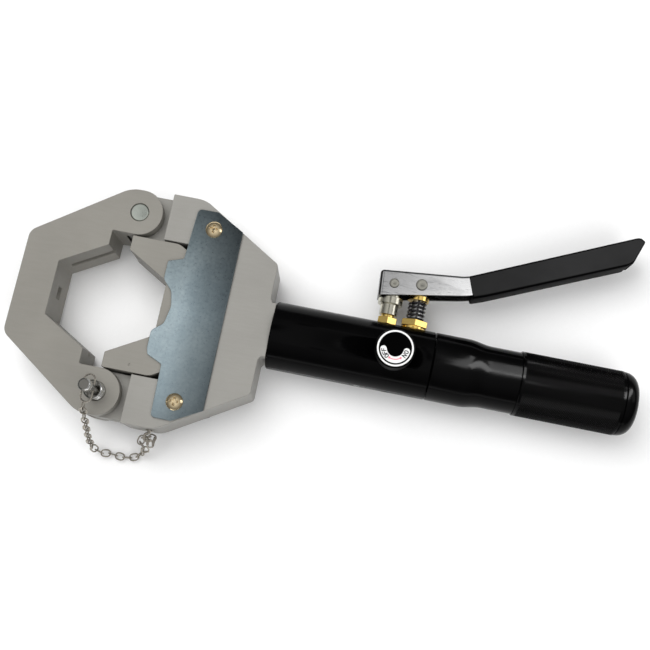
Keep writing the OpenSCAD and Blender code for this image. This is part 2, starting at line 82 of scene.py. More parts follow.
CAMERA_PLACE = (0.1960, -0.12925, 0.73827)
CAMERA_RIGHT = (0.98057, 0.19616, 0.00125)
CAMERA_UP = (-0.19260, 0.96153, 0.19587)
SENSOR_MM, LENS_MM = 36, 54.97
FLOOR_HALF, FLOOR_GAP = 3.0, 0.0002
TENT_STOPS = ((0.0, 0.10), (0.93, 0.95), (0.45, 0.30), (0.75, 0.62))
TENT_STRENGTH = 0.9
FLAG_TOWARD = (-0.10, 0.31, 0.945)
FLAG_RANGE = (("From Min", 0.972), ("From Max", 0.9985), ("To Min", 1.0), ("To Max", 0.12))


# ---------------------------------------------------------------- camera, floor, lights
def make_camera():
    """The camera stands almost straight above the head and looks down at the tool."""
    data = bpy.data.cameras.new("camera")
    data.sensor_width = SENSOR_MM
    data.lens = LENS_MM
    data.clip_start, data.clip_end = 0.01, 20
    camera = bpy.data.objects.new("camera", data)
    right, up = Vector(CAMERA_RIGHT), Vector(CAMERA_UP)
    turn = Matrix((right, up, right.cross(up))).transposed().to_4x4()
    camera.matrix_world = Matrix.Translation(CAMERA_PLACE) @ turn
    scene.collection.objects.link(camera)
    scene.camera = camera


def area_light(name, place, target, size, power, glossy=True, diffuse=True):
    """A rectangular soft box, which can be made to show in mirror-like or in matt shading only."""
    data = bpy.data.lights.new(name, "AREA")
    data.shape = "RECTANGLE"
    data.size, data.size_y = size
    data.energy = power
    light = bpy.data.objects.new(name, data)
    place = Vector(place)
    light.matrix_world = (Matrix.Translation(place)
                          @ (Vector(target) - place).to_track_quat("-Z", "Y").to_matrix().to_4x4())
    light.visible_glossy = glossy
    light.visible_diffuse = diffuse
    scene.collection.objects.link(light)


def keep_light_to(lights, nodes):
    """Let some lights be mirrored in the pieces of these nodes alone."""
    group = bpy.data.collections.new(lights[0] + "_receivers")
    for node in nodes:
        group.objects.link(bpy.data.objects[node + "_visual"])
    for light in lights:
        bpy.data.objects[light].light_linking.receiver_collection = group


def make_world():
    """A light tent: bright above, dark at the horizon, with one dark flag behind the head."""
    world = bpy.data.worlds.new("studio")
    world.use_nodes = True
    tree = world.node_tree
    place = tree.nodes.new("ShaderNodeTexCoord").outputs["Generated"]
    split = tree.nodes.new("ShaderNodeSeparateXYZ")
    tree.links.new(place, split.inputs[0])
    tent = tree.nodes.new("ShaderNodeValToRGB")
    stops = tent.color_ramp.elements
    for element, (at, grey) in zip((stops[0], stops[1], stops.new(0.45), stops.new(0.75)), TENT_STOPS):
        element.position = at
        element.color = (grey, grey, grey, 1)
    tree.links.new(split.outputs["Z"], tent.inputs["Fac"])
    toward = tree.nodes.new("ShaderNodeVectorMath")
    toward.operation = "DOT_PRODUCT"
    toward.inputs[1].default_value = Vector(FLAG_TOWARD).normalized()
    tree.links.new(place, toward.inputs[0])
    flag = tree.nodes.new("ShaderNodeMapRange")
    flag.interpolation_type = "SMOOTHSTEP"
    for key, number in FLAG_RANGE:
        flag.inputs[key].default_value = number
    tree.links.new(toward.outputs["Value"], flag.inputs["Value"])
    dim = tree.nodes.new("ShaderNodeVectorMath")
    dim.operation = "SCALE"
    tree.links.new(tent.outputs["Color"], dim.inputs[0])
    tree.links.new(flag.outputs["Result"], dim.inputs["Scale"])
    background = tree.nodes["Background"]
    background.inputs["Strength"].default_value = TENT_STRENGTH
    tree.links.new(dim.outputs["Vector"], background.inputs["Color"])
    scene.world = world


def make_studio():
    """A pale floor, two soft boxes for matt surfaces, and panels that only mirror in shiny ones."""
    floor_z = cad_box[0].z - FLOOR_GAP
    half = FLOOR_HALF
    mesh = bpy.data.meshes.new("floor")
    mesh.from_pydata([(-half, -half, floor_z), (half, -half, floor_z), (half, half, floor_z),
                      (-half, half, floor_z)], [], [(0, 1, 2, 3)])
    floor = bpy.data.objects.new("floor", mesh)
    scene.collection.objects.link(floor)
    floor.data.materials.append(plain("floor_white", (0.93, 0.93, 0.93), 0.9))
    make_world()
    scene.view_settings.view_transform = "Standard"
    area_light("key", (-0.35, 0.45, 1.3), (0.15, 0.0, 0.0), (1.2, 1.2), 17, glossy=False)
    area_light("fill", (0.9, -0.7, 1.1), (0.15, 0.0, 0.0), (1.0, 1.0), 7, glossy=False)
    area_light("tube_panel", (0.47, 0.56, 0.98), (0.30, 0.0, 0.02), (0.22, 1.0), 10, diffuse=False)
    area_light("taper_panel", (0.83, 0.56, 0.90), (0.30, 0.0, 0.02), (0.30, 1.0), 26, diffuse=False)
    area_light("knurl_card", (-0.11, -0.38, 0.90), (0.355, 0.0, 0.02), (0.35, 0.95), 4.0, diffuse=False)
    area_light("lever_card", (0.38, 0.34, 0.97), (0.26, 0.07, 0.0), (0.5, 0.5), 0.30, diffuse=False)
    area_light("nut_card", (1.10, 0.32, 0.47), (0.23, 0.05, 0.02), (0.45, 0.45), 1.0, diffuse=False)
    area_light("front_strip", (0.25, -0.9, 0.10), (0.25, 0.0, 0.0), (1.1, 0.10), 0.8, diffuse=False)


# ---------------------------------------------------------------- materials
MATERIALS = {}


class Nodes:
    """Small helper that builds one material's node tree."""

    def __init__(self, name):
        self.material = bpy.data.materials.new(name)
        self.material.use_nodes = True
        self.tree = self.material.node_tree
        self.shader = self.tree.nodes["Principled BSDF"]
        self.place = self.add("ShaderNodeTexCoord").outputs["Object"]
        MATERIALS[name] = self.material

    def add(self, kind, **inputs):
        """A node of this kind, with its inputs set by name."""
        made = self.tree.nodes.new(kind)
        for key, value in inputs.items():
            made.inputs[key.replace("_", " ")].default_value = value
        return made

    def link(self, a, b):
        self.tree.links.new(a, b)

    def scaled(self, scale):
        """The place on the tool, in metres, stretched by scale."""
        mapping = self.add("ShaderNodeMapping")
        mapping.inputs["Scale"].default_value = scale
        self.link(self.place, mapping.inputs["Vector"])
        return mapping.outputs["Vector"]

    def noise(self, scale, detail=4.0, roughness=0.55, stretch=(1, 1, 1)):
        made = self.add("ShaderNodeTexNoise", Scale=scale, Detail=detail, Roughness=roughness)
        self.link(self.scaled(stretch), made.inputs["Vector"])
        return made.outputs["Fac"]

    def ramp(self, value, stops):
        """A colour ramp; the stops are (position, colour)."""
        made = self.tree.nodes.new("ShaderNodeValToRGB")
        ramp = made.color_ramp
        while len(ramp.elements) < len(stops):
            ramp.elements.new(0.5)
        for element, (at, colour) in zip(ramp.elements, stops):
            element.position = at
            element.color = (*colour, 1) if len(colour) == 3 else colour
        self.link(value, made.inputs["Fac"])
        return made.outputs["Color"]

    def span(self, value, low, high, a, b):
        """A value from a to b as the input goes from low to high."""
        made = self.add("ShaderNodeMapRange")
        for key, number in (("From Min", low), ("From Max", high), ("To Min", a), ("To Max", b)):
            made.inputs[key].default_value = number
        self.link(value, made.inputs["Value"])
        return made.outputs["Result"]

    def mix(self, a, b, factor, blend="MIX"):
        made = self.tree.nodes.new("ShaderNodeMix")
        made.data_type = "RGBA"
        made.blend_type = blend
        for socket, value in ((made.inputs[6], a), (made.inputs[7], b), (made.inputs[0], factor)):
            if isinstance(value, bpy.types.NodeSocket):
                self.link(value, socket)
            elif isinstance(value, tuple):
                socket.default_value = (*value, 1)
            else:
                socket.default_value = value
        return made.outputs[2]

    def tint(self, base, colour, factor=1.0):
        """The base multiplied by a colour, as strongly as factor says."""
        return self.mix(base, colour, factor, "MULTIPLY")

    def facing(self, axis, low, high):
        """0 to 1 as the surface's own normal along an axis goes from low to high; mostly a mask for painted
        light and shade by the way a surface turns.
        """
        split = self.add("ShaderNodeSeparateXYZ")
        self.link(self.add("ShaderNodeTexCoord").outputs["Normal"], split.inputs[0])
        made = self.add("ShaderNodeMapRange")
        made.interpolation_type = "SMOOTHSTEP"
        for key, number in (("From Min", low), ("From Max", high)):
            made.inputs[key].default_value = number
        self.link(split.outputs[axis], made.inputs["Value"])
        return made.outputs["Result"]

    def along(self, axis, stops):
        """A grey ramp along an axis of the tool, used for painted light and shade; the stops are (place in
        metres, brightness).
        """
        split = self.add("ShaderNodeSeparateXYZ")
        self.link(self.place, split.inputs[0])
        low, high = stops[0][0], stops[-1][0]
        value = self.span(split.outputs[axis], low, high, 0.0, 1.0)
        return self.ramp(value, [((at - low) / (high - low), (grey, grey, grey)) for at, grey in stops])

    def bump(self, heights):
        """Adds (height, strength, depth in metres) layers of bump, one over the other."""
        normal = None
        for height, strength, depth in heights:
            made = self.add("ShaderNodeBump", Strength=strength, Distance=depth)
            self.link(height, made.inputs["Height"])
            if normal:
                self.link(normal, made.inputs["Normal"])
            normal = made.outputs["Normal"]
        self.link(normal, self.shader.inputs["Normal"])

    def set(self, **values):
        """Sets or links inputs of the shader by name."""
        for key, value in values.items():
            socket = self.shader.inputs[key.replace("_", " ")]
            if isinstance(value, bpy.types.NodeSocket):
                self.link(value, socket)
            else:
                socket.default_value = (*value, 1) if isinstance(value, tuple) else value


def shade(colour, factor):
    """The colour made darker or lighter."""
    return tuple(c * factor for c in colour)


def plain(name, colour, rough, specular=0.5):
    """One even colour with a very faint grain: print and floor."""
    made = Nodes(name)
    grain = made.noise(400)
    made.set(Base_Color=made.ramp(grain, [(0.3, shade(colour, 0.985)), (0.7, colour)]),
             Roughness=rough, Specular_IOR_Level=specular)
    return made.material


def blasted_alloy(name, colour):
    """Bead-blasted aluminium: a fine even grain with faint cloudy stains."""
    made = Nodes(name)
    cloud = made.noise(22, 3, 0.5)
    grain = made.noise(2600, 2, 0.6)
    streak = made.noise(60, 3, 0.6, (1, 9, 1))
    base = made.ramp(cloud, [(0.3, shade(colour, 0.94)), (0.7, shade(colour, 1.05))])
    base = made.tint(base, made.ramp(grain, [(0.35, (0.86, 0.86, 0.86)), (0.65, (1, 1, 1))]), 0.45)
    base = made.tint(base, made.ramp(streak, [(0.4, (0.95, 0.95, 0.94)), (0.6, (1, 1, 1))]), 0.5)
    made.set(Base_Color=base, Metallic=0.2, Roughness=made.span(grain, 0.3, 0.7, 0.45, 0.57))
    made.bump([(grain, 0.3, 0.00005)])


def zinc_plating(name):
    """Blue zinc-plated sheet: fine crystal speckle, small dark scratches and soft clouds, under a painted
    reflection gradient and a painted highlight on the faces turned towards -x.
    """
    made = Nodes(name)
    cloud = made.noise(24, 3, 0.55, (1.0, 0.6, 1))
    speckle = made.noise(560, 5, 0.75)
    crystal = made.add("ShaderNodeTexVoronoi", Scale=330.0, Randomness=1.0)
    made.link(made.scaled((1, 1, 1)), crystal.inputs["Vector"])
    scratch = made.noise(420, 6, 0.8, (1.0, 0.35, 1))
    base = made.ramp(cloud, [(0.34, (0.48, 0.60, 0.64)), (0.5, (0.62, 0.74, 0.78)),
                             (0.66, (0.53, 0.65, 0.70))])
    base = made.tint(base, made.ramp(speckle, [(0.38, (0.70, 0.72, 0.75)), (0.52, (0.93, 0.94, 0.95)),
                                               (0.66, (1.0, 1.0, 1.0))]), 0.45)
    base = made.tint(base, made.ramp(scratch, [(0.34, (0.42, 0.45, 0.48)), (0.40, (1, 1, 1))]), 0.25)
    base = made.tint(base, made.ramp(crystal.outputs["Distance"], [(0.1, (1.0, 1.0, 1.0)),
                                                                    (0.7, (0.84, 0.86, 0.88))]), 0.6)
    # Painted reflection: the sheet darkens towards high x and towards both ends along y, most at high y.
    base = made.tint(base, made.along("X", [(0.044, 1.1), (0.062, 1.0), (0.076, 0.6), (0.095, 0.28)]))
    base = made.tint(base, made.along("Y", [(-0.080, 0.60), (-0.060, 0.84), (0.0, 1.16), (0.080, 0.28)]))
    # Painted highlight: faces turned towards -x are light cyan.
    base = made.mix((0.75, 0.88, 0.92), base, made.facing("X", -0.75, -0.25))
    made.set(Base_Color=base, Metallic=1.0, Roughness=made.span(speckle, 0.35, 0.65, 0.27, 0.36))
    made.bump([(speckle, 0.07, 0.00004), (crystal.outputs["Distance"], 0.05, 0.00004)])


def metal(name, colour, rough, wear=0.06, mark_scale=900):
    """Bare or plated metal with fine machining marks."""
    made = Nodes(name)
    lines = made.noise(mark_scale, 3, 0.6)
    cloud = made.noise(130, 3, 0.55)
    base = made.ramp(cloud, [(0.35, shade(colour, 0.88)), (0.65, colour)])
    made.set(Base_Color=base, Metallic=1.0,
             Roughness=made.span(lines, 0.3, 0.7, rough - wear, rough + wear))
    made.bump([(lines, 0.1, 0.00004)])


def black_coat(name, colour, rough, grain, strength, coat=0.0, specular=0.5):
    """Satin black anodising, paint or plastic with a fine orange-peel."""
    made = Nodes(name)
    peel = made.noise(grain, 3, 0.6)
    cloud = made.noise(45, 3, 0.55)
    base = made.ramp(cloud, [(0.3, shade(colour, 0.75)), (0.7, shade(colour, 1.25))])
    made.set(Base_Color=base, Roughness=made.span(cloud, 0.3, 0.7, rough - 0.04, rough + 0.05),
             Coat_Weight=coat, Coat_Roughness=0.12, Specular_IOR_Level=specular)
    made.bump([(peel, strength, 0.00003)])


def sheet_chrome(name, face, edge, rough):
    """Bright sheet with a painted gradient, darker towards low x, and a painted dark reflection on its bends
    and inner sides.
    """
    made = Nodes(name)
    lines = made.noise(1100, 3, 0.6, (0.12, 1, 1))
    cloud = made.noise(70, 4, 0.6, (0.4, 1, 1))
    base = made.ramp(cloud, [(0.3, shade(face, 0.72)), (0.5, face), (0.7, shade(face, 0.9))])
    base = made.tint(base, made.ramp(lines, [(0.32, (0.55, 0.55, 0.56)), (0.42, (1, 1, 1))]), 0.6)
    # Painted reflection: the face darkens towards low x.
    base = made.tint(base, made.along("X", [(0.2016, 0.62), (0.235, 0.70), (0.268, 1.0)]))
    # Painted dark reflection: surfaces that turn away from +z take the edge colour.
    base = made.mix(edge, base, made.facing("Z", 0.86, 0.985))
    made.set(Base_Color=base, Metallic=1.0, Roughness=made.span(lines, 0.3, 0.7, rough - 0.05, rough + 0.07))
    made.bump([(lines, 0.08, 0.00004)])


def pin_chrome(name):
    """Turned chrome with a painted highlight on its right and painted shade on its left."""
    made = Nodes(name)
    lines = made.noise(1400, 3, 0.6, (1, 1, 4))
    # Painted light and shade: the colour runs from dark on faces turned towards -x to bright on faces turned
    # towards +x.
    side = made.facing("X", -0.25, 0.85)
    base = made.ramp(side, [(0.0, (0.055, 0.06, 0.055)), (0.12, (0.19, 0.185, 0.17)),
                            (0.4, (0.19, 0.185, 0.17)), (0.8, (0.85, 0.85, 0.84))])
    made.set(Base_Color=base, Metallic=1.0, Roughness=made.span(lines, 0.3, 0.7, 0.12, 0.22))
    made.bump([(lines, 0.06, 0.00004)])


def vinyl(name):
    """Dipped vinyl, deep black on the rounds; the flat side gets a painted dark grey sheen."""
    made = Nodes(name)
    peel = made.noise(900, 3, 0.6)
    cloud = made.noise(30, 3, 0.55)
    # Painted sheen: the flat side is dark grey, lighter towards higher x.
    face = made.ramp(cloud, [(0.3, (0.026, 0.026, 0.0265)), (0.7, (0.036, 0.036, 0.0365))])
    face = made.tint(face, made.along("X", [(0.27, 0.55), (0.33, 0.85), (0.39, 0.8)]))
    flat = made.facing("Z", 0.80, 0.995)
    # The rounds stay deep black; the painted sheen shows on the flat side only.
    base = made.mix((0.0010, 0.0010, 0.0011), face, flat)
    made.set(Base_Color=base, Roughness=made.span(cloud, 0.3, 0.7, 0.36, 0.46),
             Specular_IOR_Level=made.span(flat, 0.0, 1.0, 0.010, 0.03))
    made.bump([(peel, 0.25, 0.00003)])


def make_materials():
    blasted_alloy("alloy_jaw", (0.259, 0.248, 0.222))
    blasted_alloy("alloy_frame", (0.300, 0.292, 0.271))
    pin_chrome("pin_chrome")
    vinyl("grip_vinyl")
    # The second colour is the painted dark reflection on the lever's bends and inner sides.
    sheet_chrome("lever_chrome", (0.92, 0.92, 0.925), (0.035, 0.035, 0.037), 0.15)
    zinc_plating("zinc_plate")
    metal("gold_screw", (0.86, 0.70, 0.44), 0.14, 0.05)
    metal("pin_steel", (0.62, 0.66, 0.60), 0.34, 0.08, mark_scale=1500)
    metal("brass", (1.0, 0.71, 0.22), 0.17, 0.05, mark_scale=1300)
    metal("bronze", (0.62, 0.42, 0.18), 0.32, 0.08)
    metal("nickel", (0.60, 0.58, 0.49), 0.20, 0.06, mark_scale=1200)
    metal("rivet_steel", (0.40, 0.39, 0.345), 0.34, 0.08, mark_scale=1200)
    metal("steel", (0.56, 0.56, 0.55), 0.3, 0.08)
    metal("chain_steel", (0.42, 0.39, 0.34), 0.24, 0.08, mark_scale=2500)
    black_coat("black_body", (0.0009, 0.0009, 0.0010), 0.17, 2200, 0.08, specular=0.055)
    black_coat("black_knurl", (0.0009, 0.0009, 0.0010), 0.15, 2600, 0.03, specular=0.06)
    black_coat("black_spring", (0.004, 0.003, 0.005), 0.16, 1500, 0.08, 0.25)
    black_coat("black_plastic", (0.0015, 0.0015, 0.0015), 0.4, 1400, 0.2, specular=0.05)
    black_coat("seal_rubber", (0.02, 0.02, 0.02), 0.7, 900, 0.3)
    plain("print_white", (0.82, 0.82, 0.81), 0.45)
    plain("print_black", (0.001, 0.001, 0.001), 0.5, 0.008)
    plain("print_red", (0.75, 0.16, 0.22), 0.5)


# ---------------------------------------------------------------- mesh helpers
def new_piece(name, bm, material, body, node=None, sharp=35, smooth=True):
    """A visible piece from a mesh: it rides on a body, and may stand in for a CAD node."""
    mesh = bpy.data.meshes.new(name)
    bmesh.ops.recalc_face_normals(bm, faces=bm.faces)
    bm.to_mesh(mesh)
    bm.free()
    piece = bpy.data.objects.new(name, mesh)
    scene.collection.objects.link(piece)
    mesh.materials.append(MATERIALS[material])
    for face in mesh.polygons:
        face.use_smooth = smooth
    if smooth:
        mesh.set_sharp_from_angle(angle=math.radians(sharp))
    if body:
        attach(piece, body)
    if node:
        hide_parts(node)
    return piece


def body_of(node):
    """The body that carries a node."""
    for body, members in frame["record"]["behaviour"]["bodies"].items():
        if node in members:
            return body
    return None


def add_bevel(piece, width):
    """Rounds the edges that carry a bevel weight."""
    bevel = piece.modifiers.new("bevel", "BEVEL")
    bevel.width = width
    bevel.segments = 3
    bevel.limit_method = "WEIGHT"
    bevel.use_clamp_overlap = False
    bevel.harden_normals = True
    bevel.miter_outer = "MITER_ARC"


def dress(node, material, bevel=0.0, sharp=32, cuts=(), limit=None):
    """A clean welded copy of a CAD node, with small rounds on its outer edges.

    The cuts are planes (axis, place in mm) that split a face with a hole in it. Edges beyond
    the limit along x stay as they are.
    """
    bm = bmesh.new()
    bm.from_mesh(frame["nodes"][node].data)
    bmesh.ops.remove_doubles(bm, verts=bm.verts, dist=2e-7)
    bmesh.ops.recalc_face_normals(bm, faces=bm.faces)
    for axis, place in cuts:
        normal = Vector([float(letter == axis) for letter in "xyz"])
        cut = bmesh.ops.bisect_plane(bm, geom=bm.verts[:] + bm.edges[:] + bm.faces[:], dist=1e-7,
                                     plane_co=normal * place * MM, plane_no=normal)["geom_cut"]
        for item in cut:
            if isinstance(item, bmesh.types.BMEdge):
                item.seam = True
    bmesh.ops.dissolve_limit(bm, angle_limit=math.radians(0.4), verts=bm.verts, edges=bm.edges,
                             delimit={"SEAM"})
    weight = bm.edges.layers.float.new("bevel_weight_edge")
    for edge in bm.edges:
        edge.smooth = True
        edge.seam = False
        outer = len(edge.link_faces) == 2 and edge.calc_face_angle_signed() > math.radians(40)
        if outer and (limit is None or min(v.co.x for v in edge.verts) < limit):
            edge[weight] = 1.0
    piece = new_piece(node + "_visual", bm, material, body_of(node), node, sharp)
    if bevel:
        add_bevel(piece, bevel)
    return piece


def face_of(bm, corners):
    """A face over the corners that differ, if there are three or more."""
    unique = list(dict.fromkeys(corners))
    if len(unique) > 2:
        bm.faces.new(unique)


def lathe(bm, profile, origin, axis="x", steps=128):
    """Revolves (along, radius) points about an axis through origin."""
    rings = []
    for along, radius in profile:
        ring = []
        for k in range(steps):
            a = TAU * k / steps
            u, v = radius * math.cos(a), radius * math.sin(a)
            point = {"x": (along, u, v), "y": (v, along, u), "z": (u, v, along)}[axis]
            ring.append(bm.verts.new(Vector(point) + Vector(origin)))
            if radius == 0:
                break
        rings.append(ring)
    for a, b in zip(rings, rings[1:]):
        for k in range(steps):
            m = (k + 1) % steps
            face_of(bm, (a[k % len(a)], a[m % len(a)], b[m % len(b)], b[k % len(b)]))


def tube(bm, path, radius, sides=12, closed=False):
    """Sweeps a round wire along a path of points."""
    count = len(path)
    rings = []
    side = None
    for i, point in enumerate(path):
        ahead = path[(i + 1) % count] if closed or i < count - 1 else point
        behind = path[i - 1] if closed or i else point
        along = (ahead - behind).normalized()
        if side is None:
            side = along.orthogonal().normalized()
        side = (side - along * side.dot(along)).normalized()
        other = along.cross(side)
        rings.append([bm.verts.new(point + radius * (side * math.cos(TAU * k / sides)
                                                     + other * math.sin(TAU * k / sides)))
                      for k in range(sides)])
    pairs = list(zip(rings, rings[1:])) + ([(rings[-1], rings[0])] if closed else [])
    for a, b in pairs:
        shift = 0
        if closed and a is rings[-1]:
            shift = min(range(sides), key=lambda s: (a[0].co - b[s].co).length)
        for k in range(sides):
            m = (k + 1) % sides
            bm.faces.new((a[k], a[m], b[(m + shift) % sides], b[(k + shift) % sides]))
    if not closed:
        bm.faces.new(rings[0][::-1])
        bm.faces.new(rings[-1])


# ---------------------------------------------------------------- head
def make_head():
    """Frame, jaw, die shoe, guard plates, screws and hinge pin."""
    dress("head_frame", "alloy_frame", 0.0006, limit=0.1300,
          cuts=(("y", 66), ("y", -66), ("z", 0), ("x", 12.5), ("z", 6)))
    dress("jaw", "alloy_jaw", 0.0006)
    dress("die_shoe", "alloy_jaw", 0.0005, cuts=(("x", 81), ("y", 0), ("z", 0)))
    for side in ("front", "back"):
        dress("guard_plate_" + side, "zinc_plate", 0.0006, cuts=(("y", 66), ("y", -66)))
    dress("guard_screws", "gold_screw", 0.00018)
    dress("hinge_pin", "pin_steel", 0.0002)


def coil_path(centre, low, high, radius, turns, axis, wire):
    """A compression spring's wire: open turns between closed ends."""
    steps = 40
    total = int(turns * steps)
    dead = 0.6
    points = []
    for i in range(total + 1):
        t = i / steps
        rise = wire * 2 * min(t, dead) + wire * 2 * max(0, t - (turns - dead))
        middle = min(max(t - dead, 0), turns - 2 * dead) / (turns - 2 * dead)
        open_height = (high - low) - 2 * wire - 4 * wire * dead
        along = low + wire + rise + open_height * middle
        a = TAU * t
        u, v = radius * math.cos(a), radius * math.sin(a)
        place = {"x": (along, centre[1] + u, centre[2] + v),
                 "y": (centre[0] + v, along, centre[2] + u)}[axis]
        points.append(Vector(place))
    return points


def make_springs():
    """The pump's spring and the ram's return spring, each coiled to fill its CAD part's box."""
    low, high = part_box("plunger_spring")
    wire = 0.78 * MM
    radius = (high.z - low.z) / 2 - wire
    centre = (low + high) / 2
    bm = bmesh.new()
    tube(bm, coil_path(centre, low.y, high.y, radius, 5.6, "y", wire), wire, 14)
    piece = new_piece("plunger_spring_visual", bm, "black_spring", "frame", "plunger_spring")
    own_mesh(piece)

    low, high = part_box("return_spring")
    wire = 1.5 * MM
    radius = (high.z - low.z) / 2 - wire
    centre = (low + high) / 2
    bm = bmesh.new()
    tube(bm, coil_path(centre, low.x, high.x, radius, 5.5, "x", wire), wire, 14)
    piece = new_piece("return_spring_visual", bm, "black_spring", "frame", "return_spring")
    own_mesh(piece)


# ---------------------------------------------------------------- lock pin and chain
CHAIN_PATH = [
    (57, -94.7, 6), (57, -99, 6), (60.5, -98, 1), (61, -94, -3), (57, -92.5, -6), (52, -93.5, -4),
    (49.5, -97, -2), (53, -101, -6), (55.5, -103.5, -10), (52.5, -104, -15), (50.5, -104, -19),
    (49, -106, -23.2), (46, -109.5, -23.3), (36.4, -111, -23.3), (25, -110, -23.3), (19, -111, -22.5),
    (13.5, -108.5, -17), (12.5, -104.5, -6), (12.7, -100.5, 5), (13, -96, 15), (13.2, -91.5, 25),
    (12.5, -86.5, 31.5), (12.4, -83.2, 37), (13, -80.4, 41)]


def walk(path, distance):
    """The point at a distance along a path of straight stretches."""
    for a, b in zip(path, path[1:]):
        step = (b - a).length
        if distance <= step or b is path[-1]:
            return a + (b - a).normalized() * distance
        distance -= step


def chain_link(bm, centre, along, roll, reach, half_width, wire, steps=10):
    """One oval wire link: two round ends joined by straight sides."""
    across = along.orthogonal().normalized()
    across = Matrix.Rotation(roll, 3, along) @ across
    points = []
    for end in (1, -1):
        for k in range(steps + 1):
            a = math.pi * (k / steps - 0.5)
            points.append(centre + along * end * (reach + half_width * math.cos(a))
                          + across * end * half_width * math.sin(a))
    tube(bm, points, wire, 10, closed=True)


def make_chain():
    """The chain's links along their fixed path between the jaw and the lock pin."""
    path = [Vector(p) * MM for p in CHAIN_PATH]
    pitch = 5.6 * MM
    length = sum((b - a).length for a, b in zip(path, path[1:]))
    bm = bmesh.new()
    for i in range(int(length / pitch)):
        a, b = walk(path, pitch * i), walk(path, pitch * (i + 1))
        along = (b - a).normalized()
        flat = UP.cross(along).normalized()
        base = along.orthogonal().normalized()
        turn = math.atan2(base.cross(flat).dot(along), base.dot(flat))
        chain_link(bm, (a + b) / 2, along, turn + math.radians(90 * ((i + 1) % 2)), 1.0 * MM, 2.5 * MM,
                   0.55 * MM)
    piece = new_piece("pin_chain_visual", bm, "chain_steel", None, "pin_chain", 60)
    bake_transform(piece)


def make_lock_pin():
    """The lock pin with its wire ring, its chain and the chain's hook."""
    dress("lock_pin", "pin_chrome", 0.0003, 30)
    dress("pin_ring", "chain_steel", 0, 60)
    dress("chain_hook", "chain_steel", 0.0002, 40, cuts=(("z", 6),))
    make_chain()


# ---------------------------------------------------------------- body and handle
DIAMONDS_AROUND = 84
KNURL_DEPTH = 0.33 * MM
KNURL_LIP = 1.6 * MM
KNURL_EASE = 0.5 * MM
KNURL_WALL = 2.4 * MM


def make_body():
    """Cylinder, reservoir tube, end cap and knurled sleeve."""
    dress("cylinder_barrel", "black_body", 0, 30)
    dress("reservoir_tube", "black_body", 0.0003, 30)
    dress("end_cap", "black_body", 0.0003, 30)
    make_knurl()


def make_knurl():
    """Knurled sleeve: every diamond of the knurl is a small pyramid."""
    low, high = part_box("knurled_grip")
    crest = (high.z - low.z) / 2
    root = crest - KNURL_DEPTH
    inner = crest - KNURL_WALL
    count = 2 * DIAMONDS_AROUND
    step = math.pi * crest / DIAMONDS_AROUND
    rows = int((high.x - low.x - 2 * KNURL_LIP) / step) // 2 * 2
    start = (low.x + high.x - rows * step) / 2
    bm = bmesh.new()

    def ring_of(x, radii):
        angles = [math.pi * i / DIAMONDS_AROUND for i in range(count)]
        return [bm.verts.new((x, r * math.cos(a), r * math.sin(a))) for a, r in zip(angles, radii)]

    grid = []
    for k in range(rows + 1):
        radii = [crest if (i + k) % 2 == 1 and 0 < k < rows else root for i in range(count)]
        grid.append(ring_of(start + k * step, radii))
    for k in range(rows):
        for i in range(count):
            m = (i + 1) % count
            a, b, c, d = grid[k][i], grid[k][m], grid[k + 1][m], grid[k + 1][i]
            for corners in (((a, b, d), (b, c, d)) if (i + k) % 2 == 1 else ((a, b, c), (a, c, d))):
                bm.faces.new(corners)
    ends = []
    for ring, end, out in ((grid[0], low.x, -1), (grid[-1], high.x, 1)):
        stations = ((ring[0].co.x, crest), (end - out * KNURL_EASE, crest), (end, crest - KNURL_EASE),
                    (end, inner))
        rings = [ring] + [ring_of(x, [r] * count) for x, r in stations]
        skin(bm, rings, True)
        ends.append(rings[-1])
    skin(bm, ends, True)
    new_piece("knurled_grip_visual", bm, "black_knurl", "frame", "knurled_grip", 12)


# ---------------------------------------------------------------- pump
def make_rivet(node):
    """A rivet with two low heads, each with a rounded rim and a small dimple."""
    low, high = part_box(node)
    centre = (low + high) / 2
    reach = (high.z - low.z) / 2
    radius = (high.x - low.x) / 2
    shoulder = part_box("lever_channel")[1].z + 0.02 * MM
    half = [(0, 0.28), (0.45, 0.28), (0.75, 0.02), (radius / MM - 1.1, 0), (radius / MM - 0.55, 0.14),
            (radius / MM - 0.15, 0.45), (radius / MM, 0.85)]
    upper = [(reach - d * MM, r * MM) for r, d in half] + [(shoulder, radius), (shoulder, 2.99 * MM)]
    profile = [(-z, r) for z, r in upper] + upper[::-1]
    bm = bmesh.new()
    lathe(bm, profile, (centre.x, centre.y, centre.z), "z", 72)
    new_piece(node + "_visual", bm, "rivet_steel", body_of(node), node, 50)


def make_pump():
    """The turned parts of the pump and the lever's two rivets."""
    for node, material in (("fulcrum_union", "brass"), ("fulcrum_post", "nickel"), ("gland_nut", "brass"),
                           ("plunger", "steel"), ("plunger_cap", "brass")):
        dress(node, material, 0.0003, 25)
    make_rivet("fulcrum_rivet")
    make_rivet("plunger_rivet")


# ---------------------------------------------------------------- lever
def curve(points, n=7):
    """A path through straight stretches, with each inner corner (x, y, reach) eased off."""
    path = [Vector(points[0][:2])]
    for before, corner, after in zip(points, points[1:], points[2:]):
        c, reach = Vector(corner[:2]), corner[2]
        a = c + (Vector(before[:2]) - c).normalized() * reach
        b = c + (Vector(after[:2]) - c).normalized() * reach
        path += [a.lerp(c, k / n).lerp(c.lerp(b, k / n), k / n) for k in range(n + 1)]
    path.append(Vector(points[-1][:2]))
    return path


def even(path, count):
    """The path again, as count + 1 points at even distances."""
    total = sum((b - a).length for a, b in zip(path, path[1:]))
    return [walk(path, total * k / count) for k in range(count + 1)]


